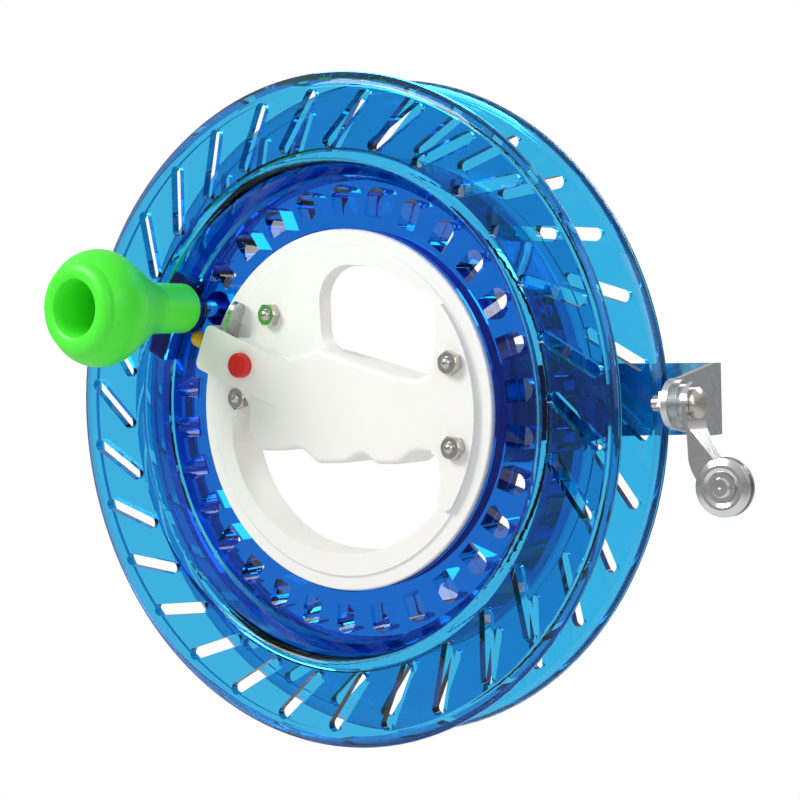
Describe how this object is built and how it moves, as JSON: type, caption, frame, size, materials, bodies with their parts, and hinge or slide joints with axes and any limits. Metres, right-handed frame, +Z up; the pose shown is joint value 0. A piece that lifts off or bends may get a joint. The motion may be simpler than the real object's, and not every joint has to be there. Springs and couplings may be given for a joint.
{
  "type": "kite line winder",
  "caption": "Hand-held line winder: a slotted clear wheel on a ball ring round a finger-grip handle, with a crank knob, a lock and a swinging roller guide.",
  "frame": {"origin": "centre of the wheel, on its axis, midway between the flanges", "axes": "Y is the wheel's axis and the crank knob is on the -Y side; +X points to the line guide; +Z is up"},
  "size_m": [0.2609, 0.0932, 0.22],
  "materials": {
    "clear_blue": "polished",
    "hub_blue": "polished",
    "crank_blue": "polished",
    "white_plastic": "satin",
    "green_plastic": "satin",
    "bright_steel": "polished",
    "zinc_steel": "galvanised",
    "yellow_plastic": "satin",
    "red_plastic": "satin",
    "dark_plastic": "satin"
  },
  "bodies": {
    "handle": {"handle_front": "white_plastic", "handle_rear": "white_plastic", "handle_bolts": "bright_steel", "handle_bolt_washers": "bright_steel", "handle_nuts": "bright_steel", "inner_race": "bright_steel", "lock_spring": "bright_steel", "button_spring": "bright_steel", "guide_bracket": "zinc_steel", "pivot_bolt": "bright_steel", "pivot_nut": "bright_steel", "pivot_washers": "zinc_steel"},
    "wheel": {"front_flange": "clear_blue", "rear_flange": "clear_blue", "front_collar": "clear_blue", "rear_collar": "clear_blue", "drum": "clear_blue", "hub_ring": "hub_blue", "outer_race": "bright_steel", "crank_boss": "crank_blue", "crank_plate": "crank_blue", "crank_axle": "bright_steel", "crank_cap": "bright_steel", "crank_head_washer": "bright_steel", "crank_base_washer": "bright_steel", "crank_rear_washer": "bright_steel", "crank_nut": "bright_steel"},
    "ball_ring": {"balls": "bright_steel", "ball_cage": "dark_plastic"},
    "knob": {"knob": "green_plastic"},
    "lock": {"lock_pin": "yellow_plastic", "thumb_lever": "zinc_steel"},
    "button": {"push_button": "red_plastic"},
    "guide_arm": {"guide_arm": "zinc_steel", "roller_pin": "bright_steel", "roller_sleeve": "bright_steel"},
    "roller": {"roller": "bright_steel"}
  },
  "joints": [
    {"name": "wheel_spin", "type": "hinge", "parent": "handle", "child": "wheel", "pos_m": [0, 0, 0], "axis": [0, 1, 0], "continuous": true},
    {"name": "ball_ring_spin", "type": "hinge", "parent": "handle", "child": "ball_ring", "pos_m": [0, 0, 0], "axis": [0, 1, 0], "continuous": true},
    {"name": "knob_spin", "type": "hinge", "parent": "wheel", "child": "knob", "pos_m": [-0.05978, -0.03, 0.03564], "axis": [0, 1, 0], "continuous": true},
    {"name": "lock_slide", "type": "slide", "parent": "handle", "child": "lock", "axis": [-0.9191, 0, 0.3939], "range_m": [-0.0033, 0.003], "stiffness_N_per_m": 250, "deforming": ["lock_spring"]},
    {"name": "button_press", "type": "slide", "parent": "handle", "child": "button", "axis": [0, 1, 0], "range_m": [0, 0.0015], "stiffness_N_per_m": 300, "springref_m": -0.0005, "deforming": ["button_spring"]},
    {"name": "guide_swing", "type": "hinge", "parent": "handle", "child": "guide_arm", "pos_m": [0.13, -0.0058, 0.0019], "axis": [1, 0, 0], "range_deg": [-90, 90]},
    {"name": "roller_spin", "type": "hinge", "parent": "guide_arm", "child": "roller", "pos_m": [0.1425, -0.0145, -0.0215], "axis": [0, 1, 0], "continuous": true}
  ],
  "couplings": [
    {"joint": "ball_ring_spin", "follows": "wheel_spin", "ratio": 0.48}
  ]
}
